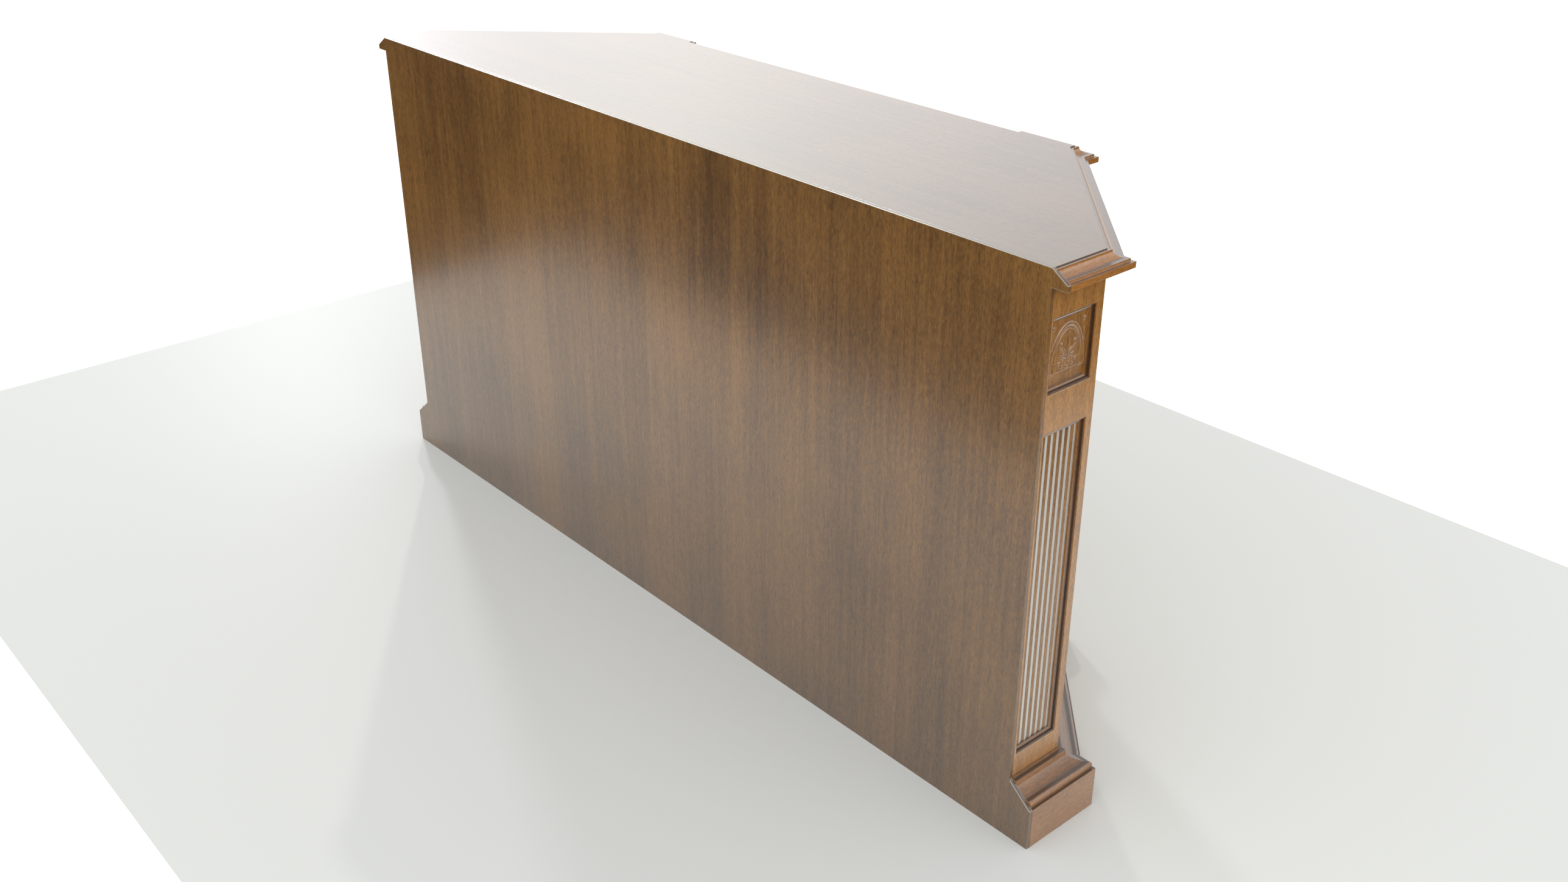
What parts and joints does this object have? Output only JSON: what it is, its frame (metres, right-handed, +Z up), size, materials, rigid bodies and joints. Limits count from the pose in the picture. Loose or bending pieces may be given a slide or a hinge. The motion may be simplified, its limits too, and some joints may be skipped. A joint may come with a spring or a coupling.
{
  "type": "wooden pulpit",
  "caption": "Wide closed-back wooden pulpit with splayed corners, carved and reeded pilaster panels, a moulded cornice and a moulded plinth.",
  "frame": {"origin": "on the floor, under the middle of the whole outline", "axes": "+Z up; -Y towards the congregation, the panelled front; +Y the flat back, where the speaker stands; +X to the right seen from the front"},
  "size_m": [2.402, 0.6492, 1.2192],
  "materials": {
    "back_veneer": "semi-gloss lacquered walnut veneer, upright grain",
    "top_veneer": "gloss lacquered walnut veneer, grain along the length",
    "frame_wood": "semi-gloss lacquered walnut, upright grain",
    "moulding_wood": "semi-gloss lacquered walnut, grain along each length",
    "panel_wood": "semi-gloss lacquered walnut, carved, reeded or fielded",
    "carcass_wood": "bare plywood and softwood",
    "screw_steel": "plain steel"
  },
  "bodies": {
    "root": {"back_panel": "back_veneer", "bottom_board": "carcass_wood", "centre_base_cap": "moulding_wood", "centre_cornice": "moulding_wood", "centre_frame": "frame_wood", "centre_frieze_panels": "panel_wood", "centre_panel_mouldings": "moulding_wood", "centre_partition": "carcass_wood", "centre_plinth_board": "moulding_wood", "centre_tall_panels": "panel_wood", "cleat_screws": "screw_steel", "corner_posts": "carcass_wood", "glue_blocks": "carcass_wood", "left_front_pilaster_carved_panel": "panel_wood", "left_front_pilaster_frame": "frame_wood", "left_front_pilaster_panel_mouldings": "moulding_wood", "left_front_pilaster_reeded_panel": "panel_wood", "left_partition": "carcass_wood", "left_pilaster_base_cap": "moulding_wood", "left_pilaster_cornice": "moulding_wood", "left_pilaster_plinth_board": "moulding_wood", "left_side_base_cap": "moulding_wood", "left_side_cornice": "moulding_wood", "left_side_pilaster_carved_panel": "panel_wood", "left_side_pilaster_frame": "frame_wood", "left_side_pilaster_panel_mouldings": "moulding_wood", "left_side_pilaster_reeded_panel": "panel_wood", "left_side_plinth_board": "moulding_wood", "left_splay_base_cap": "moulding_wood", "left_splay_cornice": "moulding_wood", "left_splay_frame": "frame_wood", "left_splay_panel_mouldings": "moulding_wood", "left_splay_panels": "panel_wood", "left_splay_plinth_board": "moulding_wood", "plinth_packers": "carcass_wood", "right_front_pilaster_carved_panel": "panel_wood", "right_front_pilaster_frame": "frame_wood", "right_front_pilaster_panel_mouldings": "moulding_wood", "right_front_pilaster_reeded_panel": "panel_wood", "right_partition": "carcass_wood", "right_pilaster_base_cap": "moulding_wood", "right_pilaster_cornice": "moulding_wood", "right_pilaster_plinth_board": "moulding_wood", "right_side_base_cap": "moulding_wood", "right_side_cornice": "moulding_wood", "right_side_pilaster_carved_panel": "panel_wood", "right_side_pilaster_frame": "frame_wood", "right_side_pilaster_panel_mouldings": "moulding_wood", "right_side_pilaster_reeded_panel": "panel_wood", "right_side_plinth_board": "moulding_wood", "right_splay_base_cap": "moulding_wood", "right_splay_cornice": "moulding_wood", "right_splay_frame": "frame_wood", "right_splay_panel_mouldings": "moulding_wood", "right_splay_panels": "panel_wood", "right_splay_plinth_board": "moulding_wood", "top_board": "top_veneer", "top_cleats": "carcass_wood"}
  },
  "joints": []
}
